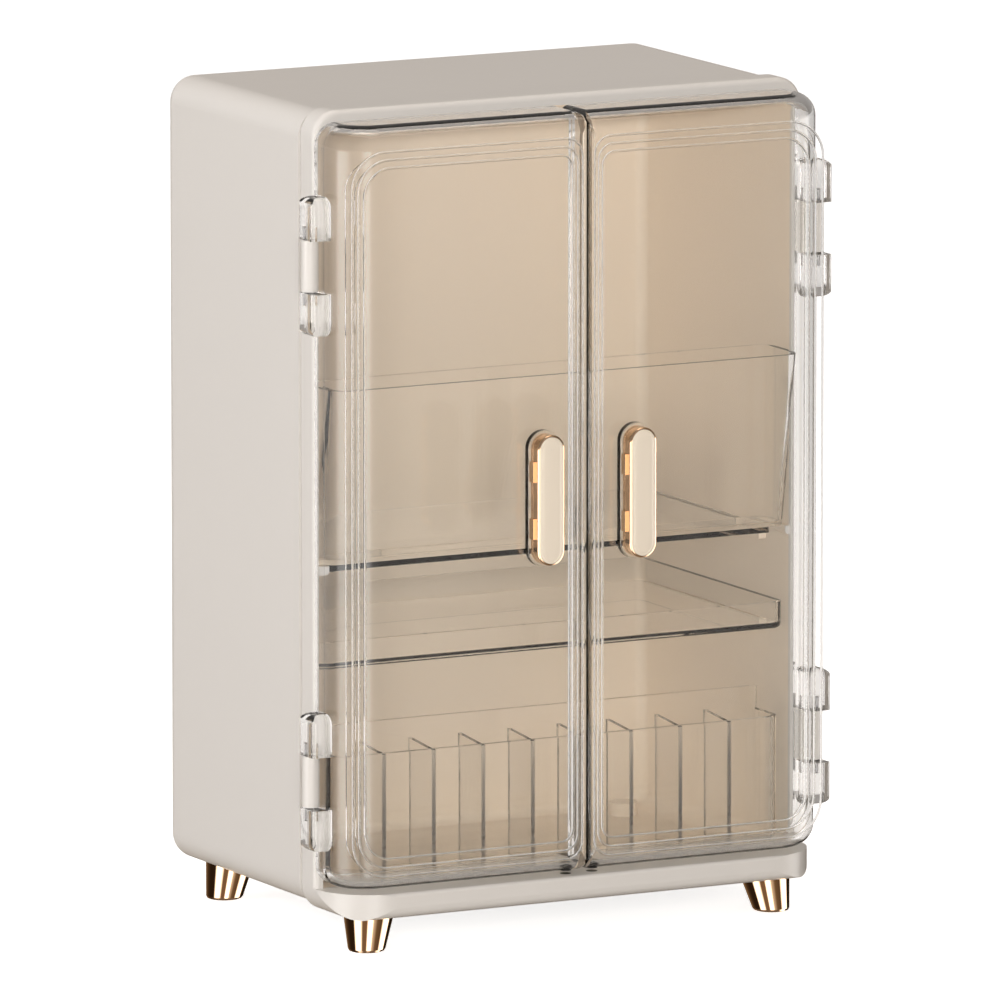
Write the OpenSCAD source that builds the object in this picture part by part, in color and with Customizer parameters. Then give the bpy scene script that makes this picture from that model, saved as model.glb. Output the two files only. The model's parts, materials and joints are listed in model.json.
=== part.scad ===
// Dustproof makeup organizer: a small standing cabinet with a moulded tub, a front frame
// with a projecting base lip, two clear hinged tray doors, clear bins and shelves, and four
// tapered metal feet.
//
// Directions: X to the right, Y to the back, Z up, millimetres. The modules are drawn with
// y = 0 on the front plane of the frame and z = 0 on the underside of the frame; in_place()
// then sets the whole on its feet with the origin under the middle of its bounding box.

/* [Cabinet body] */
// Width of the cabinet across its sides
cabinet_w = 240; // [200:4:300]
// Height of the front frame, without the feet
body_h = 352; // [300:4:430]
// Depth from the front plane of the frame to the back
body_depth = 143.6; // [120:0.4:180]
// Wall of the moulded tub
shell_wall = 3.2; // [2.4:0.1:4]
// Roundover along the four long edges
edge_r = 11.5; // [8:0.5:14]
// Fillet round the back panel
back_r = 8; // [5:0.5:8]
// How far the frame stands above the tub at the top
step_top = 1.5; // [0.5:0.1:2.5]
// How far the tub stays above the underside of the frame
step_bottom = 2; // [1:0.1:3]

/* [Front frame] */
// Depth of the frame band up to the middle of the parting groove
band_depth = 13.3; // [10:0.1:18]
// Width of the parting groove
groove_w = 2.4; // [1.2:0.2:3]
// Depth of the parting groove
groove_depth = 1.8; // [1:0.1:1.8]
// Length of the tongue that enters the tub
tongue_len = 10; // [6:0.5:14]
// Play between the tongue and its rebate
tongue_fit = 0.15; // [0.1:0.05:0.3]
// Width of the rim beside the opening
rim_side = 4; // [4:0.2:6]
// Width of the rim above the opening
rim_top = 5; // [4.8:0.2:7]
// Rounding of the rim's front edge
rim_edge_r = 2.5; // [1:0.1:3]
// Corner radius at the top of the opening
opening_r = 7.5; // [4:0.5:10]
// Height of the base lip, which is also the sill
sill_h = 11.5; // [9:0.5:16]
// How far the base lip projects
lip_out = 26; // [20:0.5:32]
// Plan radius of the base lip's front corners
lip_corner_r = 26; // [10:1:26]
// Rounding under the front of the base lip
lip_under_r = 5; // [2:0.5:6]
// Rounding on top of the front of the base lip
lip_top_r = 1.5; // [0.5:0.1:2.5]

/* [Doors] */
// Depth of each door tray
door_depth = 26.7; // [22:0.1:32.5]
// Wall of the clear doors
door_wall = 3; // [2.4:0.1:3.6]
// Gap between the doors and the frame
door_gap = 0.5; // [0.4:0.1:0.8]
// Gap between the doors and the base lip
door_bottom_gap = 1.5; // [1:0.1:3]
// How far the doors end below the top of the frame
door_top_inset = 5; // [3:0.5:8]
// Gap between the two doors
door_split = 0.6; // [0.4:0.1:1.5]
// Plan radius of the outer front edge
door_side_r = 20; // [8:1:24]
// Rounding of the top and bottom edges
door_edge_r = 10; // [6:0.5:12]
// Radius of the corners at the split
door_split_r = 3.5; // [3.2:0.1:6]
// Depth of the low wall at the split
end_wall_depth = 13.7; // [8:0.1:15]
// Depth of one step of the stepped border
step_depth = 0.45; // [0.3:0.05:0.6]

/* [Hinges] */
// Distance of the hinge axis outside the cabinet's side
hinge_out = 4; // [3.6:0.1:5]
// Distance of the hinge axis in front of the frame
hinge_front = 4; // [3.6:0.1:5]
// Radius of the knuckle
knuckle_r = 3.8; // [3.2:0.1:4.6]
// Height of the knuckle
knuckle_h = 22.5; // [16:0.5:30]
// Height of each hinge lug
lug_h = 18.8; // [14:0.2:24]
// Depth of each hinge lug
lug_depth = 13.5; // [10:0.5:17]
// Gap between a lug and the knuckle
hinge_gap = 0.4; // [0.3:0.1:0.8]
// Radius of the hinge pin
pin_r = 1.5; // [1:0.1:1.8]
// Radial running clearance of the pin in the lugs
pin_fit = 0.05; // [0.02:0.01:0.1]
// Length of the pin inside each lug
pin_engage = 5; // [3:0.5:8]
// Height of the lower knuckle's middle
hinge_low_z = 60.2; // [48:0.2:80]
// Distance of the upper knuckle's middle below the top
hinge_top_drop = 66; // [50:0.5:90]

/* [Handles] */
// Width of a handle
handle_w = 13.2; // [11:0.2:16]
// Height of a handle
handle_h = 57.5; // [44:0.5:70]
// Depth of the metal shell
handle_depth = 6.8; // [5:0.1:9]
// Distance of a handle's middle from the split
handle_x = 22.6; // [18:0.2:32]
// Width of the metal rim round the inlay
handle_rim = 0.9; // [0.7:0.1:1.4]
// Depth of the recess that holds the inlay
inlay_recess = 1; // [0.8:0.1:1.6]
// How far the inlay stands out of its recess
inlay_proud = 0.4; // [0.2:0.1:0.8]
// Thickness of the clear pad behind a handle
pad_t = 1.5; // [1:0.1:2]
// How far the pad shows round the handle
pad_margin = 1.3; // [0.6:0.1:2.4]

/* [Shelf and tray] */
// Height of the underside of the shelf
shelf_z = 147; // [120:1:180]
// Thickness of the shelf
shelf_t = 3; // [2:0.2:4]
// Front edge of the shelf behind the frame's front plane
shelf_front = 20; // [16:0.5:20]
// Height of the underside of the rear tray
tray_z = 106.5; // [92:0.5:112]
// Height of the rear tray
tray_h = 11.9; // [8:0.1:16]
// Wall of the rear tray
tray_wall = 2.2; // [1.8:0.1:3]
// Front of the rear tray behind the frame's front plane
tray_front = 6; // [4:0.5:12]
// Width of the rails under the shelf and the tray
rail_w = 3.6; // [2.6:0.2:5]
// Height of the rails
rail_h = 4; // [3:0.5:6]

/* [Bins] */
// Gap from the cabinet's side to the side of a bin
bin_side_gap = 5.2; // [4.8:0.1:8]
// Wall of the bins
bin_wall = 2.2; // [1.8:0.1:3]
// Height of the brush bin
bin_h = 78; // [60:1:100]
// Front of the brush bin at its foot
bin_front = 2; // [1:0.5:4]
// How far the front of the brush bin leans forward at its top
bin_lean = 13.5; // [8:0.5:13.5]
// Back of the brush bin
bin_back = 22; // [22:0.5:26]
// Corner radius of the bins
bin_corner_r = 8; // [4:0.5:10]
// Gap from the cabinet's side to the side of the lipstick rack
rack_side_gap = 8.9; // [5:0.1:12]
// Front of the lipstick rack behind the frame's front plane
rack_front = 0.5; // [0:0.1:4]
// Back of the lipstick rack
rack_back = 26.5; // [25:0.5:34]
// Height of the rack's front and side walls
rack_front_h = 56.9; // [40:0.1:64]
// Height of the rack's rear wall
rack_rear_h = 66.8; // [50:0.1:74]
// Number of slots in the rack
rack_slots = 9; // [6:1:11]
// Thickness of a divider
divider_t = 1.8; // [1.4:0.1:2.4]
// How far the front of a divider ends below the front wall
divider_drop = 0.8; // [0:0.1:3]
// How much higher the back of a divider is than its front
divider_rise = 2; // [0:0.1:6]

/* [Feet] */
// Height of the front feet
foot_h = 15.6; // [10:0.2:24]
// Diameter at the top of a foot
foot_top_d = 22; // [16:0.5:24]
// Diameter at the bottom of a foot
foot_bottom_d = 16; // [12:0.5:18]
// Sideways distance of the feet from the middle plane of the cabinet's side
foot_inset = 22; // [22:0.5:34]
// Distance of the front feet in front of the frame
foot_front = 8; // [4:0.5:9]
// Distance of the rear feet from the back
foot_back_inset = 19.2; // [19:0.1:30]

/* [Hidden] */
$fa = 5;
$fs = 0.5;
over = 1;                                  // overshoot of a cut past an open face
bond = 0.5;                                // how deep a rail or rib runs into its wall

half_w = cabinet_w / 2;
shell_z0 = step_bottom;
shell_z1 = body_h - step_top;
shell_front = band_depth + groove_w / 2;
frame_back = band_depth - groove_w / 2;
tongue_end = frame_back + groove_w + tongue_len;
rebate_inset = groove_depth - tongue_fit;
inner_half = half_w - shell_wall;
inner_back = body_depth - shell_wall;
floor_z = shell_z0 + shell_wall;
tongue_floor = 1.3;                        // tongue's top above the tub floor
tongue_low_r = 3;
open_half = half_w - rim_side;

door_front = door_depth + door_gap;        // front plane of the doors before the frame
door_z0 = sill_h + door_bottom_gap;
door_z1 = body_h - door_top_inset;
door_mid_z = (door_z0 + door_z1) / 2;
border_steps = 3;
border_top = 11;                           // first line of the stepped border, then its pitch
border_top_pitch = 3.6;
border_bottom = 7;
border_bottom_pitch = 3.8;
border_side = 5;
border_side_pitch = 3.3;
border_split = 3.2;
border_split_pitch = 2.1;
border_split_corner = 7.5;
border_side_corner = 16;
border_split_corner_step = 1;              // each line's corner is that much tighter
border_side_corner_step = 2;

axis_x = half_w + hinge_out;
axis_y = -hinge_front;
lug_outer = hinge_out * 2;
lug_r = 4.5;
lug_edge_r = 2;
knuckle_web = knuckle_r - 0.1;
web_into_frame = 3;                        // how far the knuckle's web runs into the band
web_back = 6;
web_angle = 45;                            // where the web leaves the barrel
hinge_levels = [hinge_low_z, body_h - hinge_top_drop];
pin_half = knuckle_h / 2 + hinge_gap + pin_engage;

magnet_r = 2.5;
magnet_t = 2;
magnet_x = 6.5;
magnet_front = 18;

handle_screw_span = 32;
screw_r = 1.2;
screw_hole_play = 0.15;
screw_head_r = 2.8;
screw_head_t = 1.7;
screw_bite = 4;
handle_edge_r = 1.1;
clip_h = 9;
clip_out = 1.2;
clip_span = 25;
clip_depth = 3.2;
clip_back = 0.8;
pad_edge_r = 0.5;
inlay_fit = 0.1;
inlay_edge_r = 0.6;

shelf_fit = 0.4;
shelf_corner_r = 6;
shelf_front_r = 2;
back_play = 0.8;
rail_front = tongue_end + 2;
rail_r = 1;
tray_fit = 0.4;
tray_corner_r = 6;
tray_edge_r = 2;
tray_inner_edge_r = 1;
ledge_h = 4;                               // brush bin ledges on the sides of the opening
ledge_y0 = 1;
ledge_y1 = 11;
ledge_r = 2;
bin_over_shelf = 3;
bin_z = shelf_z + shelf_t + bin_over_shelf;
bin_foot_w = 20;
bin_foot_t = 1.5;
bin_foot_in = 0.2;                         // from the shelf's front edge to the bin's foot
bin_angle = atan(bin_lean / bin_h);
bin_half = half_w - bin_side_gap;
rack_half = half_w - rack_side_gap;
rack_z = sill_h;                           // the rack stands on the sill
rack_under_r = 4;                          // lower edges at the sides
rack_toe_r = 3;                            // lower edge at the front
rack_back_r = 3;
rack_leg_y = tongue_end - 1;               // back of its legs, which stand on the tongue
rack_leg_depth = 5;
rack_leg_w = 16;
rack_legs = 5;
divider_toe_play = 0.5;

foot_x = half_w - foot_inset;
foot_rear_y = body_depth - foot_back_inset;
foot_flange = 1.2;
foot_flange_in = 0.5;
foot_bottom_chamfer = 0.7;
stud_r = 2;
stud_down = 9;
stud_up = 8;
boss_r = 6;
boss_h = 6;

front_reach = door_front + pad_t + handle_depth + inlay_proud;
y_shift = (front_reach - body_depth) / 2;

cream = [0.87, 0.84, 0.80];
gold = [0.86, 0.68, 0.45];
clear = [0.93, 0.93, 0.93, 0.35];
champagne = [0.93, 0.87, 0.78];
steel = [0.70, 0.70, 0.72];
dark = [0.15, 0.14, 0.14];

// ---------------------------------------------------------------- shared shapes

module in_place() {
    translate([0, y_shift, foot_h]) children();
}

module both_sides() {
    children();
    mirror([1, 0, 0]) children();
}

// A piece of the right door, or with side = -1 the same piece of the left one
module on_side(side) {
    in_place() mirror([side < 0 ? 1 : 0, 0, 0]) children();
}

// What is cut away to round one corner of a rectangle; the corner is at (x, y)
module corner_cut(x, y, r, flip_x, flip_y) {
    if (r > 0)
        translate([x, y])
            mirror([flip_x, 0]) mirror([0, flip_y])
                difference() {
                    translate([-over, -over]) square(r + over);
                    translate([r, r]) circle(r);
                }
}

// Rectangle from (x0, y0) to (x1, y1) with a radius of its own at each corner:
// lower left, lower right, upper right, upper left
module round_rect(x0, y0, x1, y1, r_ll, r_lr, r_ur, r_ul) {
    difference() {
        translate([x0, y0]) square([x1 - x0, y1 - y0]);
        corner_cut(x0, y0, r_ll, 0, 0);
        corner_cut(x1, y0, r_lr, 1, 0);
        corner_cut(x1, y1, r_ur, 1, 1);
        corner_cut(x0, y1, r_ul, 0, 1);
    }
}

// Extrusions of a flat outline: along Y the outline is (x, z), along X it is (y, z)
module along_y(y0, y1) {
    translate([0, y1, 0]) rotate([90, 0, 0]) linear_extrude(y1 - y0) children();
}

module along_x(x0, x1) {
    translate([x0, 0, 0]) rotate([90, 0, 90]) linear_extrude(x1 - x0) children();
}

// Block standing on z = 0 with round upright corners and a fillet round its top face,
// carried round the corners as a torus
module soft_block(x0, y0, x1, y1, h, corner_r, top_r) {
    along_x(x0 + corner_r, x1 - corner_r) round_rect(y0, 0, y1, h, 0, 0, top_r, top_r);
    along_y(y0 + corner_r, y1 - corner_r) round_rect(x0, 0, x1, h, 0, 0, top_r, top_r);
    for (corner = [[x1, y1, 0], [x0, y1, 1], [x0, y0, 2], [x1, y0, 3]])
        translate([corner[0] + (corner[0] == x1 ? -corner_r : corner_r),
                   corner[1] + (corner[1] == y1 ? -corner_r : corner_r), 0])
            rotate(90 * corner[2]) rotate_extrude(angle = 90)
                round_rect(0, 0, corner_r, h, 0, 0, top_r, 0);
}

// The same block with its rounded face to the back, its open end on y = y0
module block_to_back(w, z0, z1, y0, y1, corner_r, top_r) {
    translate([0, y0, 0]) mirror([0, 1, 0]) rotate([90, 0, 0])
        soft_block(-w / 2, z0, w / 2, z1, y1 - y0, corner_r, top_r);
}

// ... and to the front, its open end on y = y1
module block_to_front(w, z0, z1, y0, y1, corner_r, top_r) {
    translate([0, y1, 0]) rotate([90, 0, 0])
        soft_block(-w / 2, z0, w / 2, z1, y1 - y0, corner_r, top_r);
}

// Upright bar with round ends: flat back on y = 0, rounded front edge on y = -t
module stadium(w, h, t, front_r) {
    run = h - w;
    rotate([90, 0, 0]) {
        for (end = [0, 1])
            mirror([0, end]) translate([0, run / 2, 0]) rotate_extrude(angle = 180)
                round_rect(0, 0, w / 2, t, 0, 0, front_r, 0);
        along_y(-run / 2, run / 2) round_rect(-w / 2, 0, w / 2, t, 0, 0, front_r, front_r);
    }
}

// ---------------------------------------------------------------- cabinet

module side_rail(z_top) {
    both_sides()
        along_x(inner_half - rail_w, inner_half + bond)
            round_rect(rail_front, z_top - rail_h, inner_back - back_r, z_top, rail_r, 0, 0, rail_r);
}

module rear_shell() {
    color(cream) in_place()
        difference() {
            union() {
                difference() {
                    block_to_back(cabinet_w, shell_z0, shell_z1, shell_front, body_depth,
                                  edge_r, back_r);
                    block_to_back(inner_half * 2, floor_z, shell_z1 - shell_wall,
                                  shell_front - over, inner_back,
                                  edge_r - shell_wall, back_r - shell_wall);
                    along_y(shell_front - over, tongue_end) tongue_outline(rebate_inset);
                }
                side_rail(shelf_z);
                side_rail(tray_z);
                both_sides()
                    translate([foot_x, foot_rear_y, floor_z - bond])
                        cylinder(h = boss_h + bond, r = boss_r);
            }
            both_sides()
                translate([foot_x, foot_rear_y, shell_z0 - over])
                    cylinder(h = stud_up + over, r = stud_r);
        }
}

// Outline of the tongue, or of the rebate it sits in, inset from the outside of the tub
module tongue_outline(inset) {
    round_rect(-half_w + inset, shell_z0 + inset, half_w - inset, shell_z1 - inset,
               edge_r - inset, edge_r - inset, edge_r - inset, edge_r - inset);
}

// Lower part of the frame, up to the sill, with the projecting lip: its outline from the
// front, from above and from the side, all cut together
module base_lip() {
    intersection() {
        along_y(-lip_out, frame_back)
            round_rect(-half_w, 0, half_w, sill_h, edge_r, edge_r, 0, 0);
        linear_extrude(sill_h)
            round_rect(-half_w, -lip_out, half_w, frame_back, lip_corner_r, lip_corner_r, 0, 0);
        along_x(-half_w, half_w)
            round_rect(-lip_out, 0, frame_back, sill_h, lip_under_r, 0, 0, lip_top_r);
    }
}

// The band above the sill, with its front edge rounded all the way round
module upper_band() {
    intersection() {
        block_to_front(cabinet_w, 0, body_h, 0, frame_back, edge_r, rim_edge_r);
        translate([-cabinet_w, -over, sill_h]) cube([2 * cabinet_w, body_depth, body_h]);
    }
}

// Knuckle of the right side: a barrel and a web that runs back into the band
module knuckle(z_mid) {
    translate([axis_x, axis_y, z_mid - knuckle_h / 2])
        linear_extrude(knuckle_h)
            difference() {
                union() {
                    circle(knuckle_r);
                    polygon([[-knuckle_web, 0],
                             [knuckle_r * cos(web_angle), knuckle_r * sin(web_angle)],
                             [-hinge_out, hinge_front + web_back],
                             [-hinge_out - web_into_frame, hinge_front + web_back],
                             [-hinge_out - web_into_frame, hinge_front + bond],
                             [-knuckle_web, hinge_front + bond]]);
                }
                circle(pin_r);
            }
}

module front_frame() {
    color(cream) in_place()
        difference() {
            union() {
                difference() {
                    union() {
                        upper_band();
                        base_lip();
                        along_y(frame_back - bond, tongue_end) tongue_outline(groove_depth);
                    }
                    along_y(-over, frame_back)
                        round_rect(-open_half, sill_h, open_half, body_h - rim_top,
                                   0, 0, opening_r, opening_r);
                    along_y(frame_back - bond / 2, tongue_end + over)
                        round_rect(-open_half, floor_z + tongue_floor, open_half,
                                   body_h - rim_top, tongue_low_r, tongue_low_r,
                                   opening_r, opening_r);
                }
                for (z = hinge_levels) both_sides() knuckle(z);
                both_sides()
                    along_y(ledge_y0, ledge_y1)
                        round_rect(bin_half - bin_wall, bin_z - ledge_h, open_half + bond,
                                   bin_z, ledge_r, 0, 0, 0);
            }
            both_sides() {
                translate([foot_x, -foot_front, -over])
                    cylinder(h = stud_up + over, r = stud_r);
                translate([magnet_x, -magnet_front, sill_h - magnet_t])
                    cylinder(h = magnet_t + over, r = magnet_r);
            }
        }
}

// Foot hanging from z = 0
module foot(h) {
    top_r = foot_top_d / 2;
    bottom_r = foot_bottom_d / 2;
    difference() {
        rotate_extrude()
            polygon([[0, -h], [bottom_r - foot_bottom_chamfer, -h],
                     [bottom_r, -h + foot_bottom_chamfer],
                     [top_r - foot_flange_in, -foot_flange], [top_r, -foot_flange],
                     [top_r, 0], [0, 0]]);
        translate([0, 0, -stud_down]) cylinder(h = stud_down + over, r = stud_r);
    }
}

module front_foot(side) {
    color(gold) in_place() translate([side * foot_x, -foot_front, 0]) foot(foot_h);
}

module rear_foot(side) {
    color(gold) in_place()
        translate([side * foot_x, foot_rear_y, shell_z0]) foot(foot_h + shell_z0);
}

module foot_studs() {
    color(steel) in_place()
        both_sides() {
            translate([foot_x, -foot_front, -stud_down])
                cylinder(h = stud_down + stud_up, r = stud_r);
            translate([foot_x, foot_rear_y, shell_z0 - stud_down])
                cylinder(h = stud_down + stud_up, r = stud_r);
        }
}

module base_magnets() {
    color(dark) in_place()
        both_sides()
            translate([magnet_x, -magnet_front, sill_h - magnet_t])
                cylinder(h = magnet_t, r = magnet_r);
}

// ---------------------------------------------------------------- doors (right one, mirrored)

// Both doors as one block, or a skin inset from it, open to the back: round plan corners at
// the front, and one fillet that runs along the top and bottom edges and round the corners
module door_block(inset, back) {
    half = half_w - inset;
    y0 = -door_front + inset;
    z0 = door_z0 + inset;
    z1 = door_z1 - inset;
    side = door_side_r - inset;
    edge = door_edge_r - inset;
    along_x(-half + side, half - side) round_rect(y0, z0, back, z1, edge, 0, 0, edge);
    along_y(y0 + side, back) round_rect(-half, z0, half, z1, edge, edge, edge, edge);
    both_sides()
        translate([half - side, y0 + side, 0]) rotate(-90) rotate_extrude(angle = 90)
            round_rect(0, z0, side, z1, 0, edge, edge, 0);
}

// The right half of that block, with its own small radii along the split
module door_form(inset, back) {
    x0 = door_split / 2 + inset;
    x1 = half_w + over;
    y0 = -door_front + inset;
    z0 = door_z0 + inset;
    z1 = door_z1 - inset;
    split = door_split_r - inset;
    intersection() {
        door_block(inset, back);
        along_y(y0 - over, back + over) round_rect(x0, z0, x1, z1, split, 0, 0, split);
        translate([0, 0, z0 - over]) linear_extrude(z1 - z0 + 2 * over)
            round_rect(x0, y0, x1, back + over, split, 0, 0, 0);
    }
}

// Cut of one step of the border: everything inside its outline down to an inset skin
module border_cut(i) {
    split_corner = border_split_corner - i * border_split_corner_step;
    side_corner = border_side_corner - i * border_side_corner_step;
    difference() {
        along_y(-door_front - over, -door_front + door_side_r)
            round_rect(door_split / 2 + border_split + i * border_split_pitch,
                       door_z0 + border_bottom + i * border_bottom_pitch,
                       half_w - border_side - i * border_side_pitch,
                       door_z1 - border_top - i * border_top_pitch,
                       split_corner, side_corner, side_corner, split_corner);
        door_form((i + 1) * step_depth, 0);
    }
}

// Lug at one end of a knuckle: up = 1 above it, up = -1 below it
module lug(z_mid, up) {
    near = z_mid + up * (knuckle_h / 2 + hinge_gap);
    far = near + up * lug_h;
    z0 = min(near, far);
    z1 = max(near, far);
    top_r = up > 0 ? lug_r : 0;
    low_r = up > 0 ? 0 : lug_r;
    y0 = -door_gap - lug_depth;
    difference() {
        intersection() {
            along_y(y0, -door_gap)
                round_rect(half_w - door_wall / 2, z0, half_w + lug_outer, z1, 0, low_r, top_r, 0);
            along_x(half_w - door_wall / 2, half_w + lug_outer)
                round_rect(y0, z0, -door_gap, z1, low_r, low_r, top_r, top_r);
            translate([0, 0, z0]) linear_extrude(lug_h)
                round_rect(half_w - door_wall / 2, y0, half_w + lug_outer, -door_gap,
                           0, lug_edge_r, lug_edge_r, 0);
        }
        translate([axis_x, axis_y, near - up * over])
            mirror([0, 0, up > 0 ? 0 : 1])
                cylinder(h = pin_engage + bond + over, r = pin_r + pin_fit);
    }
}

module door() {
    skin_y = -door_front + door_wall;
    color(clear) difference() {
        union() {
            difference() {
                door_form(0, -door_gap);
                door_form(door_wall, over);
                for (i = [0 : border_steps - 1]) border_cut(i);
                translate([0, -door_front + end_wall_depth, door_z0 + door_wall])
                    cube([door_split_r + door_wall, door_depth, door_z1 - door_z0 - 2 * door_wall]);
            }
            for (z = hinge_levels) for (up = [-1, 1]) lug(z, up);
            translate([handle_x, -door_front + door_wall - bond, door_mid_z])
                stadium(handle_w + 2 * pad_margin, handle_h + 2 * pad_margin,
                        pad_t + door_wall - bond, pad_edge_r);
        }
        for (s = [-1, 1])
            translate([handle_x, skin_y + over, door_mid_z + s * handle_screw_span / 2])
                rotate([90, 0, 0])
                    cylinder(h = door_wall + pad_t + 2 * over, r = screw_r + screw_hole_play);
        translate([magnet_x, -magnet_front, door_z0 - over])
            cylinder(h = magnet_t + over, r = magnet_r);
    }
}

module hinge_pins() {
    color(steel) for (z = hinge_levels)
        translate([axis_x, axis_y, z - pin_half]) cylinder(h = pin_half * 2, r = pin_r);
}

module at_handle() {
    translate([handle_x, -door_front - pad_t, door_mid_z]) children();
}

module handle_shell() {
    color(gold) at_handle()
        difference() {
            union() {
                stadium(handle_w, handle_h, handle_depth, handle_edge_r);
                for (s = [-1, 1])
                    translate([-handle_w / 2 - clip_out, -clip_back - clip_depth,
                               s * clip_span / 2 - clip_h / 2])
                        cube([handle_w + 2 * clip_out, clip_depth, clip_h]);
            }
            translate([0, -handle_depth + inlay_recess, 0])
                stadium(handle_w - 2 * handle_rim, handle_h - 2 * handle_rim,
                        inlay_recess + over, 0);
            for (s = [-1, 1])
                translate([0, over, s * handle_screw_span / 2]) rotate([90, 0, 0])
                    cylinder(h = screw_bite + over, r = screw_r);
        }
}

module handle_inlay() {
    color(champagne) at_handle()
        translate([0, -handle_depth + inlay_recess, 0])
            stadium(handle_w - 2 * handle_rim - 2 * inlay_fit,
                    handle_h - 2 * handle_rim - 2 * inlay_fit,
                    inlay_recess + inlay_proud, inlay_edge_r);
}

module handle_screws() {
    shank = door_wall + pad_t + screw_bite;
    color(steel) for (s = [-1, 1])
        translate([handle_x, -door_front + door_wall, door_mid_z + s * handle_screw_span / 2])
            rotate([90, 0, 0]) {
                cylinder(h = shank, r = screw_r);
                translate([0, 0, -screw_head_t]) cylinder(h = screw_head_t, r = screw_head_r);
            }
}

module door_magnet() {
    color(dark) translate([magnet_x, -magnet_front, door_z0]) cylinder(h = magnet_t, r = magnet_r);
}

// ---------------------------------------------------------------- clear inner pieces

module clear_shelf() {
    half = open_half - shelf_fit;
    color(clear) in_place()
        translate([0, 0, shelf_z]) linear_extrude(shelf_t)
            round_rect(-half, shelf_front, half, inner_back - back_play, shelf_front_r, shelf_front_r,
                       shelf_corner_r, shelf_corner_r);
}

module rear_tray() {
    half = open_half - tray_fit;
    color(clear) in_place()
        difference() {
            translate([0, 0, tray_z + tray_h]) mirror([0, 0, 1])
                soft_block(-half, tray_front, half, inner_back - back_play, tray_h,
                           tray_corner_r, tray_edge_r);
            translate([0, 0, tray_z + tray_h + over]) mirror([0, 0, 1])
                soft_block(-half + tray_wall, tray_front + tray_wall, half - tray_wall,
                           inner_back - back_play - tray_wall, tray_h - tray_wall + over,
                           tray_corner_r - tray_wall, tray_inner_edge_r);
        }
}

// Form of a box whose front leans forward, inset by its wall for the hollow
module leaning_box(inset, z0, z1) {
    half = bin_half - inset;
    r = bin_corner_r - inset;
    back = bin_back - inset;
    reach = bin_h * 2;
    intersection() {
        translate([0, 0, z0]) linear_extrude(z1 - z0)
            round_rect(-half, -reach, half, back, 0, 0, r, r);
        translate([0, bin_front + inset / cos(bin_angle), bin_z]) rotate([bin_angle, 0, 0])
            translate([0, 0, -reach / 2]) linear_extrude(reach * 2)
                round_rect(-half, 0, half, reach, r, r, 0, 0);
    }
}

module brush_bin() {
    color(clear) in_place() {
        difference() {
            leaning_box(0, bin_z, bin_z + bin_h);
            leaning_box(bin_wall, bin_z + bin_wall, bin_z + bin_h + over);
        }
        both_sides()
            translate([foot_x - bin_foot_w, shelf_front + bin_foot_in, bin_z - bin_over_shelf])
                cube([bin_foot_w, bin_foot_t, bin_over_shelf + bond]);
    }
}

// Outside of the rack, or its hollow at the given inset, up to z1
module rack_form(inset, z1) {
    half = rack_half - inset;
    r = bin_corner_r - inset;
    under = rack_under_r - inset;
    front = rack_front + inset;
    back = rack_back - inset;
    intersection() {
        translate([0, 0, rack_z]) linear_extrude(z1 - rack_z)
            round_rect(-half, front, half, back, r, r, rack_back_r, rack_back_r);
        along_y(front, back) round_rect(-half, rack_z + inset, half, z1, under, under, 0, 0);
        along_x(-half, half) round_rect(front, rack_z + inset, back, z1, rack_toe_r - inset, 0, 0, 0);
    }
}

module lipstick_rack() {
    leg_pitch = (2 * rack_half - 2 * bin_corner_r - rack_leg_w) / (rack_legs - 1);
    leg_z = floor_z + tongue_floor;
    color(clear) in_place() {
        difference() {
            rack_form(0, rack_z + rack_rear_h);
            rack_form(bin_wall, rack_z + rack_rear_h + over);
            translate([-half_w, rack_front - over, rack_z + rack_front_h])
                cube([cabinet_w, rack_back - rack_front - bin_wall + over, rack_rear_h]);
        }
        for (i = [0 : rack_legs - 1])
            translate([-rack_half + bin_corner_r + i * leg_pitch, rack_leg_y - rack_leg_depth, leg_z])
                cube([rack_leg_w, rack_leg_depth, rack_z - leg_z + bond]);
    }
}

module rack_dividers() {
    inner_w = 2 * (rack_half - bin_wall);
    slot = (inner_w - (rack_slots - 1) * divider_t) / rack_slots;
    y0 = rack_front + bin_wall;
    y1 = rack_back - bin_wall;
    z0 = rack_z + bin_wall;
    z1 = rack_z + rack_front_h - divider_drop;
    color(clear) in_place()
        for (i = [1 : rack_slots - 1])
            along_x(-inner_w / 2 + i * slot + (i - 1) * divider_t,
                    -inner_w / 2 + i * (slot + divider_t))
                difference() {
                    polygon([[y0, z0], [y1, z0], [y1, z1 + divider_rise], [y0, z1]]);
                    corner_cut(y0, z0, rack_toe_r - bin_wall + divider_toe_play, 0, 0);
                }
}

// ---------------------------------------------------------------- nodes

rear_shell();
front_frame();
front_foot(-1);  // foot_front_left
front_foot(1);  // foot_front_right
rear_foot(-1);  // foot_rear_left
rear_foot(1);  // foot_rear_right
foot_studs();
on_side(-1) door();  // left_door
on_side(1) door();  // right_door
on_side(-1) hinge_pins();  // left_hinge_pins
on_side(1) hinge_pins();  // right_hinge_pins
on_side(-1) handle_shell();  // left_handle_shell
on_side(1) handle_shell();  // right_handle_shell
on_side(-1) handle_inlay();  // left_handle_inlay
on_side(1) handle_inlay();  // right_handle_inlay
on_side(-1) handle_screws();  // left_handle_screws
on_side(1) handle_screws();  // right_handle_screws
on_side(-1) door_magnet();  // left_door_magnet
on_side(1) door_magnet();  // right_door_magnet
base_magnets();
clear_shelf();
rear_tray();
brush_bin();
lipstick_rack();
rack_dividers();
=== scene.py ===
# %% [markdown]
# A dustproof makeup organizer: a glossy cream cabinet with two clear doors, clear bins and
# shelves, and small metal feet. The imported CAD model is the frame: it gives every piece its
# place and its joints. This script gives the pieces their finish, adds light and a camera, and
# rebuilds the pieces whose look needs more than the CAD solid.

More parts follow.
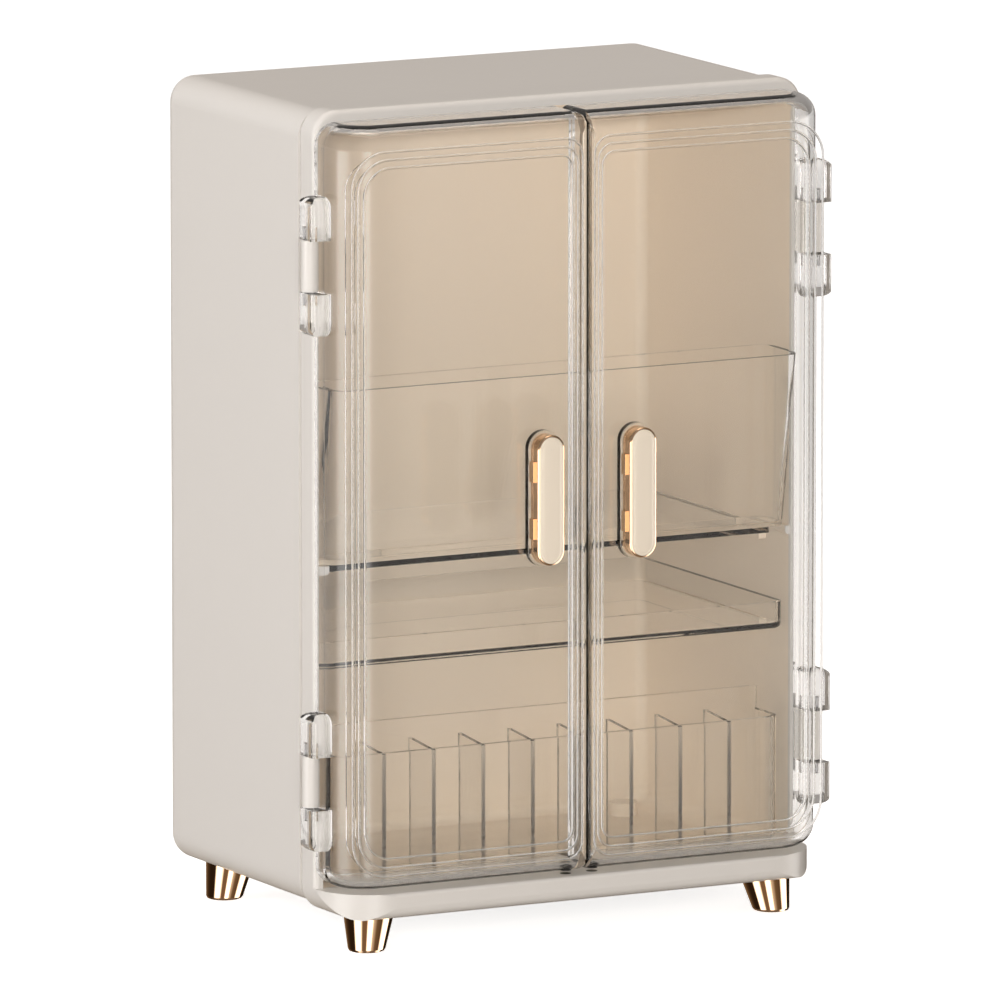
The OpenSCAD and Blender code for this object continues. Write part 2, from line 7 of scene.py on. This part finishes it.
# %% Load the frame
import json
import math
import bmesh
import bpy
from mathutils import Matrix, Vector


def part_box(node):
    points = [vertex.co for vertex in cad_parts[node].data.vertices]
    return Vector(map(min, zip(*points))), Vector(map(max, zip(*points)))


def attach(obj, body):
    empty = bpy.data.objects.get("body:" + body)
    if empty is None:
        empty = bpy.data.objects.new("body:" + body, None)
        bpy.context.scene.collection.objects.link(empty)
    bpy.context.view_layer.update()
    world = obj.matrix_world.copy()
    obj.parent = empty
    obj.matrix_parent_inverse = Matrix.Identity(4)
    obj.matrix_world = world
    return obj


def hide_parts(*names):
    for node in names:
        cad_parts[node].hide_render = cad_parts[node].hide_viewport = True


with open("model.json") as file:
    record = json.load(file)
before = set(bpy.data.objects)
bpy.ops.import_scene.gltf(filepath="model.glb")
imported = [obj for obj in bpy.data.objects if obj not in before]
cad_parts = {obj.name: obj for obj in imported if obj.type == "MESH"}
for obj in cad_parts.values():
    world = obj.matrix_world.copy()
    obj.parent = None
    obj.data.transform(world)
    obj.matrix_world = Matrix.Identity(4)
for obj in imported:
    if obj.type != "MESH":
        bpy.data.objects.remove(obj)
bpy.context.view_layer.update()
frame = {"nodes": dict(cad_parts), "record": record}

# %% [markdown]
# Everything later is placed from a few planes of the cabinet. They are read from the CAD nodes,
# so they follow the model when it changes.

# %% Planes of the cabinet
MM = 0.001
BODY_DEPTH = 143.6 * MM
shell_low, shell_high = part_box("rear_shell")
frame_low, frame_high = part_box("front_frame")
FRONT_Y = shell_high.y - BODY_DEPTH
UNDERSIDE_Z = frame_low.z
TOP_Z = frame_high.z
print("front plane y", round(FRONT_Y, 4), "underside z", round(UNDERSIDE_Z, 4))

# %% [markdown]
# The camera is a long lens from seven metres away, so the cabinet's edges stay almost parallel.
# It looks from the front left and a little from above: two angles give its direction, and a
# point on the cabinet with a small sideways offset gives its place.

# %% Camera
YAW = math.radians(27.81)
PITCH = math.radians(9.49)
LENS_MM = 576.0
SENSOR_MM = 36.0
DISTANCE = 7.025
AIM = Vector((0, FRONT_Y + 65 * MM, UNDERSIDE_Z + 180 * MM))
OFF_RIGHT = -4.44 * MM
OFF_UP = 16.06 * MM

level = math.cos(PITCH)
forward = Vector((math.sin(YAW) * level, math.cos(YAW) * level, -math.sin(PITCH)))
right = Vector((math.cos(YAW), -math.sin(YAW), 0))
up = right.cross(forward)
camera = bpy.data.objects.new("camera", bpy.data.cameras.new("camera"))
bpy.context.scene.collection.objects.link(camera)
camera.data.lens = LENS_MM
camera.data.sensor_width = SENSOR_MM
camera.data.clip_end = 100
camera.location = AIM - forward * DISTANCE - right * OFF_RIGHT - up * OFF_UP
camera.rotation_euler = Matrix((right, up, -forward)).transposed().to_euler()
bpy.context.scene.camera = camera
print("camera at", [round(c, 3) for c in camera.location])

# %% [markdown]
# Helpers for every material. One turns a colour written as sRGB hex into the linear values that
# shaders expect. Another adds a node with its settings and links in one call: a setting's key is an
# input's name or number, or else a property of the node, and a link called in0 goes to input 0.

# %% Material helpers
def srgb(text):
    values = [int(text[i:i + 2], 16) / 255 for i in (1, 3, 5)]
    return [v / 12.92 if v <= 0.04045 else ((v + 0.055) / 1.055) ** 2.4 for v in values] + [1.0]


def add(material, kind, settings=(), **links):
    node = material.node_tree.nodes.new(kind)
    for name, value in dict(settings).items():
        if isinstance(name, int) or name in node.inputs:
            node.inputs[name].default_value = value
        else:
            setattr(node, name, value)
    for name, socket in links.items():
        target = node.inputs[int(name[2:])] if name.startswith("in") and name[2:].isdigit() \
            else node.inputs[name.replace("_", " ")]
        material.node_tree.links.new(socket, target)
    return node


def new_material(name):
    material = bpy.data.materials.new(name)
    material.use_nodes = True
    material.node_tree.nodes.clear()
    return material


def finish_material(material, shader):
    output = add(material, "ShaderNodeOutputMaterial", Surface=shader)
    print(material.name, len(material.node_tree.nodes), "nodes")
    return output

# %% [markdown]
# Two small maps are used by several finishes. One says how far inside the cabinet a point lies,
# from 0 on the outside to 1 within, in Object coordinates: a box whose long edges are rounded like
# the cabinet's and whose front and back are square, with its faces hidden in the thickness of the
# walls. It places the painted warm bounce light on the cream's inside. The other is a pair of noise
# layers, wide and fine, for the slow ripple and the faint haze of moulded plastic.

# %% Shared maps
MASK_INSET = 3.0 * MM
MASK_FRONT_INSET = 1.5 * MM
MASK_CORNER_R = 8.5 * MM
# How much faster the mask ends at the front and the back than at its round edges
SQUARE = 60


def painted_bounce_mask(m, coords):
    low = shell_low + Vector((MASK_INSET, 0, MASK_INSET))
    low.y = FRONT_Y + MASK_FRONT_INSET
    high = shell_high - Vector((MASK_INSET, MASK_INSET, MASK_INSET))
    middle, half = (low + high) / 2, (high - low) / 2
    core = half - Vector((MASK_CORNER_R, 0, MASK_CORNER_R))
    offset = add(m, "ShaderNodeVectorMath", {"operation": "SUBTRACT", 1: middle}, in0=coords)
    away = add(m, "ShaderNodeVectorMath", {"operation": "ABSOLUTE"}, in0=offset.outputs[0])
    past = add(m, "ShaderNodeVectorMath", {"operation": "SUBTRACT", 1: core}, in0=away.outputs[0])
    outer = add(m, "ShaderNodeVectorMath", {"operation": "MAXIMUM", 1: (0, 0, 0)}, in0=past.outputs[0])
    squared = add(m, "ShaderNodeVectorMath", {"operation": "MULTIPLY", 1: (1, SQUARE, 1)},
                  in0=outer.outputs[0])
    far = add(m, "ShaderNodeVectorMath", {"operation": "LENGTH"}, in0=squared.outputs[0])
    soft = add(m, "ShaderNodeMapRange",
               {"From Min": MASK_CORNER_R + 0.3 * MM, "From Max": MASK_CORNER_R - 0.15 * MM},
               in0=far.outputs["Value"])
    return soft.outputs["Result"]


def moulded_ripple(m, coords, strength):
    wide = add(m, "ShaderNodeTexNoise", {"Scale": 1 / (70 * MM), "Detail": 2.0}, Vector=coords)
    return add(m, "ShaderNodeBump", {"Strength": strength, "Distance": 0.4 * MM},
               Height=wide.outputs["Fac"]).outputs["Normal"]


def moulded_haze(m, coords, low, high):
    fine = add(m, "ShaderNodeTexNoise", {"Scale": 1 / (9 * MM), "Detail": 5.0}, Vector=coords)
    return add(m, "ShaderNodeMapRange", {"To Min": low, "To Max": high},
               in0=fine.outputs["Fac"]).outputs["Result"]

# %% [markdown]
# Cream ABS: an opaque, warm off-white injection moulding with a glossy skin. A real moulding is
# never optically flat, so a wide ripple bends its reflections, and its haze is uneven. The inside
# is the same moulding, but its colour is painted a warmer, lighter ivory than the outside: painted
# warm bounce light between its walls.

# %% Cream ABS
def cream_abs():
    m = new_material("cream_glossy_abs")
    coords = add(m, "ShaderNodeTexCoord").outputs["Object"]
    # The inside colour is painted warm bounce light on the same cream plastic
    outside, inside = srgb("#e5e2de"), srgb("#f6e9d8")
    colour = add(m, "ShaderNodeMix", {"data_type": "RGBA", 6: outside, 7: inside},
                 in0=painted_bounce_mask(m, coords))
    shader = add(m, "ShaderNodeBsdfPrincipled", {"IOR": 1.52},
                 Base_Color=colour.outputs[2],
                 Roughness=moulded_haze(m, coords, 0.27, 0.34),
                 Normal=moulded_ripple(m, coords, 0.05))
    finish_material(m, shader.outputs["BSDF"])
    return m

# %% [markdown]
# Clear polystyrene doors and clear inner pieces: polished, colourless plastic. It shows by its
# edges and its reflections. Light must also pass through it onto what stands behind, which costs
# many samples by refraction alone, so a shadow ray sees a plain tinted window instead. The thin
# inner pieces bend light less than the doors, which keeps their edges fine and light, and a Bevel
# node rounds their edges for the light. A ray caught inside a thin wall would bounce until it is
# given up as black, so after a few bounces it also meets the plain window and gets out.

# %% Clear plastics
# More bounces than any ray makes
NEVER = 99


def clear_plastic(name, tint, ior, shade, round_mm=0.0, deepest=NEVER):
    m = new_material(name)
    coords = add(m, "ShaderNodeTexCoord").outputs["Object"]
    wide = add(m, "ShaderNodeTexNoise", {"Scale": 1 / (60 * MM), "Detail": 1.0}, Vector=coords)
    flow = add(m, "ShaderNodeBump", {"Strength": 0.02, "Distance": 0.3 * MM},
               Height=wide.outputs["Fac"])
    if round_mm:
        edge = add(m, "ShaderNodeBevel", {"samples": 4, "Radius": round_mm * MM})
        m.node_tree.links.new(edge.outputs["Normal"], flow.inputs["Normal"])
    shader = add(m, "ShaderNodeBsdfPrincipled",
                 {"Base Color": srgb(tint), "Roughness": 0.0, "IOR": ior, "Transmission Weight": 1.0},
                 Normal=flow.outputs["Normal"])
    window = add(m, "ShaderNodeBsdfTransparent", {"Color": srgb(shade)})
    path = add(m, "ShaderNodeLightPath")
    caught = add(m, "ShaderNodeMath", {"operation": "GREATER_THAN", 1: deepest},
                 in0=path.outputs["Ray Depth"])
    straight = add(m, "ShaderNodeMath", {"operation": "MAXIMUM"},
                   in0=path.outputs["Is Shadow Ray"], in1=caught.outputs[0])
    mix = add(m, "ShaderNodeMixShader", in0=straight.outputs[0],
              in1=shader.outputs["BSDF"], in2=window.outputs["BSDF"])
    finish_material(m, mix.outputs["Shader"])
    return m

# %% [markdown]
# Metals: the feet and the handle shells are zinc castings with a polished rose gold plating, the
# pins, studs and screws bright steel. Plating follows the casting's slow waves, which the bump
# gives; it is nearly a mirror, so what it shows is the room around it.

# %% Metals and small pieces
def plated(name, colour, low, high, wave):
    m = new_material(name)
    coords = add(m, "ShaderNodeTexCoord").outputs["Object"]
    waves = add(m, "ShaderNodeTexNoise", {"Scale": 1 / (12 * MM), "Detail": 1.0}, Vector=coords)
    bump = add(m, "ShaderNodeBump", {"Strength": wave, "Distance": 0.2 * MM}, Height=waves.outputs["Fac"])
    shader = add(m, "ShaderNodeBsdfPrincipled", {"Base Color": srgb(colour), "Metallic": 1.0},
                 Roughness=moulded_haze(m, coords, low, high), Normal=bump.outputs["Normal"])
    finish_material(m, shader.outputs["BSDF"])
    return m


def lacquer(name, colour, roughness, coat):
    m = new_material(name)
    coords = add(m, "ShaderNodeTexCoord").outputs["Object"]
    shader = add(m, "ShaderNodeBsdfPrincipled",
                 {"Base Color": srgb(colour), "Coat Weight": coat, "Coat Roughness": 0.05},
                 Roughness=moulded_haze(m, coords, roughness - 0.04, roughness + 0.04))
    finish_material(m, shader.outputs["BSDF"])
    return m

# %% Assign the finishes
FINISHES = {
    "cream_abs": cream_abs(),
    "clear_door": clear_plastic("clear_polystyrene", "#ffffff", 1.49, "#fefefd"),
    "clear_inner": clear_plastic("clear_acrylic", "#fffefd", 1.3, "#fefefd", 0.4, 8.5),
    "rose_gold": plated("rose_gold_plating", "#eac8a6", 0.04, 0.08, 0.08),
    "champagne": lacquer("champagne_lacquer", "#f4e9d8", 0.35, 0.6),
    "steel": plated("bright_steel", "#c8c8ca", 0.16, 0.24, 0.1),
    "magnet": lacquer("dark_coated_magnet", "#1d1c1b", 0.4, 0.0),
}
for part in frame["record"]["subparts"]:
    mesh = frame["nodes"][part["node"]].data
    mesh.materials.clear()
    mesh.materials.append(FINISHES[part["material_slot"]])
print(len(frame["nodes"]), "nodes finished")

# %% [markdown]
# The pieces that are modelled here are all finished alike: their faces are shaded smooth, except
# across edges sharper than a given angle, and the mesh becomes an object at the origin. It also
# counts the edges without two faces, which a closed piece doesn't have.

# %% New pieces
def new_piece(name, bm, finish, sharpest):
    for face in bm.faces:
        face.smooth = True
    for edge in bm.edges:
        edge.smooth = edge.calc_face_angle(0) < math.radians(sharpest)
    open_edges = sum(not edge.is_manifold for edge in bm.edges)
    mesh = bpy.data.meshes.new(name)
    bm.to_mesh(mesh)
    bm.free()
    mesh.materials.append(FINISHES[finish])
    piece = bpy.data.objects.new(name, mesh)
    bpy.context.scene.collection.objects.link(piece)
    print(name, len(mesh.polygons), "faces", open_edges, "open edges")
    return piece

# %% [markdown]
# Each door has a border of three concentric steps, and the mould gives every step a raised bead
# along its edge, which bends the light into the fine double lines that frame the doors. A bead is
# a ring with a half-round section. It starts as a circle whose quarters are pulled apart into a
# rounded rectangle. An inset cuts the ring out of it, an extrusion lifts the ring off the skin,
# and the bevel operator rounds its front edges.

# %% Door border beads
HANDLE_PAD = 1.5 * MM
SKIN_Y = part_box("left_door")[0].y + HANDLE_PAD
BEAD_WIDTH = 1.0 * MM
BEAD_HEIGHT = 0.75 * MM
BEAD_ROUND = 0.46 * MM
AIR_GAP = 0.01 * MM
STEPS = 3
STEP_DEPTH = 0.45 * MM
# Where the outermost step lies, and how far each next one lies inside it
FROM_SPLIT, NEXT_SPLIT = 3.5 * MM, 2.1 * MM
TO_SIDE, NEXT_SIDE = 115 * MM, 3.3 * MM
FROM_BOTTOM, NEXT_BOTTOM = 20 * MM, 3.8 * MM
FROM_TOP, NEXT_TOP = 16 * MM, 3.6 * MM
SPLIT_R, NEXT_SPLIT_R = 7.5 * MM, 1 * MM
SIDE_R, NEXT_SIDE_R = 16 * MM, 2 * MM


def add_bead(bm, x0, x1, z0, z1, split_r, side_r, y):
    made = bmesh.ops.create_circle(bm, cap_ends=True, radius=1.0, segments=80)
    ring = made["verts"]
    for v in ring:
        on_side, on_top = v.co.x > 0, v.co.y > 0
        r = (side_r if on_side else split_r) + BEAD_WIDTH
        x = (x1 - side_r if on_side else x0 + split_r) + r * v.co.x
        z = (z1 if on_top else z0) - (1 if on_top else -1) * (r - BEAD_WIDTH) + r * v.co.y
        v.co = Vector((x, y, z))
    bm.normal_update()
    face = ring[0].link_faces[0]
    strip = bmesh.ops.inset_region(bm, faces=[face], thickness=BEAD_WIDTH, use_boundary=True,
                                   use_even_offset=True)["faces"]
    bmesh.ops.delete(bm, geom=[face], context="FACES_ONLY")
    grown = bmesh.ops.extrude_face_region(bm, geom=strip, use_keep_orig=True)["geom"]
    lifted = [g for g in grown if isinstance(g, bmesh.types.BMVert)]
    bmesh.ops.translate(bm, verts=lifted, vec=(0, -BEAD_HEIGHT, 0))
    lifted = set(lifted)
    rims = [e for e in bm.edges if e.verts[0] in lifted and e.verts[1] in lifted
            and any(len(set(f.verts) & lifted) == 2 for f in e.link_faces)]
    bmesh.ops.bevel(bm, geom=rims, offset=BEAD_ROUND, offset_type="OFFSET", segments=4, profile=0.5,
                    affect="EDGES", material=-1)


def door_beads(name, body, side):
    bm = bmesh.new()
    for i in range(STEPS):
        part = bmesh.new()
        add_bead(part, FROM_SPLIT + NEXT_SPLIT * i, TO_SIDE - NEXT_SIDE * i,
                 UNDERSIDE_Z + FROM_BOTTOM + NEXT_BOTTOM * i, TOP_Z - FROM_TOP - NEXT_TOP * i,
                 SPLIT_R - NEXT_SPLIT_R * i, SIDE_R - NEXT_SIDE_R * i,
                 SKIN_Y + STEP_DEPTH * i - AIR_GAP)
        if side < 0:
            bmesh.ops.scale(part, verts=part.verts, vec=(-1, 1, 1))
        bmesh.ops.recalc_face_normals(part, faces=part.faces)
        shell = bpy.data.meshes.new(name)
        part.to_mesh(shell)
        part.free()
        bm.from_mesh(shell)
        bpy.data.meshes.remove(shell)
    piece = new_piece(name, bm, "clear_door", 50)
    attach(piece, body)
    return piece

door_beads("left_door_border_beads", "door_left", -1)
door_beads("right_door_border_beads", "door_right", 1)

# %% [markdown]
# The handle inlay is a lacquered oval plate: a bright bevelled rim, a fine groove inside it, and a
# softly domed face. One way to model it is a chain of insets on a stadium outline, each with its
# own width and height, which keeps the rings parallel all the way round.

# %% Handle inlays
# Each ring's width and rise: bevel, rim, groove down, groove up, and the dome in three steps
INLAY_RINGS = ((0.45, 0.3), (0.35, 0.0), (0.15, -0.22), (0.2, 0.1), (0.9, 0.1), (1.3, 0.05), (1.4, 0.02))
RING_RISE = 0.35 * MM


def handle_inlay(node, body):
    low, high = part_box(node)
    middle = (low + high) / 2
    half_w, half_h = (high.x - low.x) / 2, (high.z - low.z) / 2
    bm = bmesh.new()
    made = bmesh.ops.create_circle(bm, cap_ends=True, radius=half_w, segments=64)
    for v in made["verts"]:
        v.co.y += (half_h - half_w) * (1 if v.co.y > 0 else -1)
    bmesh.ops.rotate(bm, verts=bm.verts, matrix=Matrix.Rotation(math.pi / 2, 3, "X"))
    bmesh.ops.translate(bm, verts=bm.verts, vec=(middle.x, high.y, middle.z))
    front = bmesh.ops.extrude_face_region(bm, geom=bm.faces[:])["geom"]
    face = [g for g in front if isinstance(g, bmesh.types.BMFace)]
    corners = [g for g in front if isinstance(g, bmesh.types.BMVert)]
    depth = high.y - low.y
    bmesh.ops.translate(bm, verts=corners, vec=(0, RING_RISE - depth, 0))
    bmesh.ops.recalc_face_normals(bm, faces=bm.faces)
    for inset, rise in INLAY_RINGS:
        bmesh.ops.inset_region(bm, faces=face, thickness=inset * MM, depth=rise * MM,
                               use_even_offset=True)
    piece = new_piece(node + "_plate", bm, "champagne", 24)
    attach(piece, body)
    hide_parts(node)
    return piece

handle_inlay("left_handle_inlay", "door_left")
handle_inlay("right_handle_inlay", "door_right")

# %% [markdown]
# Each foot is a plated casting: a cone that leans outwards, so that its outer side is the steeper
# one, with a turned chamfer at the bottom. It starts as a straight cone. Its lower ring is moved
# outwards, and the bevel operator cuts the chamfer.

# %% Feet
FOOT_BOTTOM_R = 8 * MM
FOOT_LEAN = 2.2 * MM
FOOT_CHAMFER = 1.3 * MM


def foot(node, outwards):
    low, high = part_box(node)
    middle = (low + high) / 2
    bm = bmesh.new()
    bmesh.ops.create_cone(bm, cap_ends=True, segments=96, radius1=FOOT_BOTTOM_R,
                          radius2=(high.x - low.x) / 2, depth=high.z - low.z)
    lower = [v for v in bm.verts if v.co.z < 0]
    bmesh.ops.translate(bm, verts=lower, vec=Vector(outwards) * FOOT_LEAN)
    rim = [e for e in bm.edges if all(v.co.z < 0 for v in e.verts)]
    bmesh.ops.bevel(bm, geom=rim, offset=FOOT_CHAMFER, offset_type="OFFSET", segments=2, profile=0.5,
                    affect="EDGES", material=-1)
    bmesh.ops.translate(bm, verts=bm.verts, vec=middle)
    bmesh.ops.recalc_face_normals(bm, faces=bm.faces)
    piece = new_piece(node + "_casting", bm, "rose_gold", 15)
    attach(piece, "cabinet")
    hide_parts(node)
    return piece

foot("foot_front_left", (-1, -1, 0))
foot("foot_front_right", (1, -1, 0))
foot("foot_rear_left", (-1, 1, 0))
foot("foot_rear_right", (1, 1, 0))

# %% [markdown]
# The set is a sheet of white paper that runs on past the view. Seen directly it glows a little, so
# it stays white where the lamps fall off, as an overexposed studio sweep does. Through the clear
# plastic it glows less, so that the doors stand out from it in a light grey. What lights the
# underside is plain paper in soft shade. A mirror reflection passes through it to the dark and
# bright strips that the studio hangs round the set, because polished metal on bare white paper
# would mirror nothing but white.

# %% Floor and backdrop
SHEET_HALF_WIDTH = 20
PAPER_GLOW = 0.75
GLOW_THROUGH_PLASTIC = 0.45


def stage_sheet():
    mesh = bpy.data.meshes.new("floor")
    bm = bmesh.new()
    bmesh.ops.create_grid(bm, x_segments=1, y_segments=1, size=SHEET_HALF_WIDTH)
    bm.to_mesh(mesh)
    bm.free()
    floor = bpy.data.objects.new("floor", mesh)
    bpy.context.scene.collection.objects.link(floor)
    m = new_material("white_paper")
    path = add(m, "ShaderNodeLightPath")
    through = add(m, "ShaderNodeMath", {"operation": "MULTIPLY", 1: GLOW_THROUGH_PLASTIC},
                  in0=path.outputs["Is Transmission Ray"])
    seen = add(m, "ShaderNodeMath", {"operation": "MAXIMUM"},
               in0=path.outputs["Is Camera Ray"], in1=through.outputs[0])
    paper = add(m, "ShaderNodeBsdfPrincipled", {"Base Color": srgb("#dcd9d5"), "Roughness": 0.9})
    sweep = add(m, "ShaderNodeBsdfPrincipled",
                {"Base Color": srgb("#ffffff"), "Roughness": 0.9,
                 "Emission Color": srgb("#ffffff"), "Emission Strength": PAPER_GLOW})
    sheet = add(m, "ShaderNodeMixShader", in0=seen.outputs[0],
                in1=paper.outputs["BSDF"], in2=sweep.outputs["BSDF"])
    away = add(m, "ShaderNodeBsdfTransparent")
    mirrored = add(m, "ShaderNodeMath", {"operation": "SUBTRACT", "use_clamp": True},
                   in0=path.outputs["Is Glossy Ray"], in1=path.outputs["Is Transmission Ray"])
    mix = add(m, "ShaderNodeMixShader", in0=mirrored.outputs[0],
              in1=sheet.outputs["Shader"], in2=away.outputs["BSDF"])
    finish_material(m, mix.outputs["Shader"])
    mesh.materials.append(m)
    return floor

stage_sheet()

# %% [markdown]
# Light: a tall softbox at the left, a wide one at the front left that reaches through the doors to
# the back and the right wall of the cabinet, and a warm one overhead. The first two light the
# cabinet but aren't on show in what is mirrored or seen through plastic, where they would be
# blown-out squares.

# %% Light
def softbox(name, place, target, width, height, power, colour, on_show=True):
    lamp = bpy.data.lights.new(name, "AREA")
    lamp.shape = "RECTANGLE"
    lamp.size = width
    lamp.size_y = height
    lamp.energy = power
    lamp.color = srgb(colour)[:3]
    obj = bpy.data.objects.new(name, lamp)
    bpy.context.scene.collection.objects.link(obj)
    obj.location = place
    obj.rotation_euler = (Vector(target) - Vector(place)).to_track_quat("-Z", "Y").to_euler()
    obj.visible_glossy = on_show
    obj.visible_transmission = on_show
    return obj

CENTRE = (0, 0, 0.18)
softbox("key_left", (-2.3, 0.15, 0.8), CENTRE, 0.6, 1.8, 17.5, "#fdfdff", on_show=False)
softbox("front_fill", (-1.2, -2.1, 0.6), CENTRE, 1.0, 0.5, 30.5, "#fdf9f5", on_show=False)
softbox("top_warm", (0.2, 0.1, 2.0), CENTRE, 1.4, 1.0, 9.5, "#fff3e6")

# %% [markdown]
# The room around is a dim warm grey with a few darker bands, because metal and clear plastic only
# show their form by what they mirror. Below the floor's level hang much stronger bright and dark
# strips, which only the polished metal sees. Both lists go round the set, from the front (0) through
# the left, the back (0.5) and the right to the front again (1), and give each place its colour.

# %% Studio room
ROOM_STRENGTH = 1.0
STRIP_STRENGTH = 4.5
ROOM = [(0.0, "#b4afab"), (0.10, "#89847f"), (0.16, "#57524d"), (0.24, "#b4b0ac"), (0.40, "#b3afab"),
        (0.55, "#a49f9b"), (0.70, "#8b8681"), (0.80, "#57524d"), (0.90, "#a49f9b"), (1.0, "#b4afab")]
STRIPS = [(0.0, "#77716a"), (0.03, "#fffdfa"), (0.06, "#fffdfa"), (0.09, "#403428"), (0.15, "#3f3429"),
          (0.20, "#fffdfa"), (0.24, "#fffdfa"), (0.28, "#120c07"), (0.37, "#120c07"), (0.44, "#241b12"),
          (0.50, "#463b2c"), (0.56, "#3a3024"), (0.66, "#0d0905"), (0.74, "#0d0905"), (0.78, "#fffdfa"),
          (0.84, "#f4efe8"), (0.88, "#2b231b"), (0.95, "#3a3024"), (1.0, "#77716a")]


def studio_world():
    world = bpy.data.worlds.new("studio")
    world.use_nodes = True
    world.node_tree.nodes.clear()
    direction = add(world, "ShaderNodeTexCoord").outputs["Generated"]
    axes = add(world, "ShaderNodeSeparateXYZ", in0=direction)
    heading = add(world, "ShaderNodeMath", {"operation": "ARCTAN2"},
                  in0=axes.outputs[0], in1=axes.outputs[1])
    turn = add(world, "ShaderNodeMapRange", {"From Min": -math.pi, "From Max": math.pi},
               in0=heading.outputs[0])
    lights = []
    for stops, strength in ((ROOM, ROOM_STRENGTH), (STRIPS, STRIP_STRENGTH)):
        bands = add(world, "ShaderNodeValToRGB", in0=turn.outputs["Result"])
        ramp = bands.color_ramp
        ramp.elements[0].position, ramp.elements[0].color = stops[0][0], srgb(stops[0][1])
        ramp.elements[1].position, ramp.elements[1].color = stops[-1][0], srgb(stops[-1][1])
        for place, colour in stops[1:-1]:
            ramp.elements.new(place).color = srgb(colour)
        lights.append(add(world, "ShaderNodeBackground", {"Strength": strength},
                          Color=bands.outputs["Color"]).outputs["Background"])
    ground = add(world, "ShaderNodeBackground", {"Color": srgb("#7d736b"), "Strength": ROOM_STRENGTH})
    slanting = add(world, "ShaderNodeMapRange", {"From Min": -0.85, "From Max": -0.65},
                   in0=axes.outputs[2])
    lower = add(world, "ShaderNodeMixShader", in0=slanting.outputs["Result"],
                in1=ground.outputs["Background"], in2=lights[1])
    above = add(world, "ShaderNodeMapRange", {"From Min": -0.04, "From Max": 0.02}, in0=axes.outputs[2])
    mix = add(world, "ShaderNodeMixShader", in0=above.outputs["Result"],
              in1=lower.outputs["Shader"], in2=lights[0])
    output = add(world, "ShaderNodeOutputWorld", Surface=mix.outputs["Shader"])
    bpy.context.scene.world = world
    return output

studio_world()
bpy.context.scene.view_settings.view_transform = "Standard"
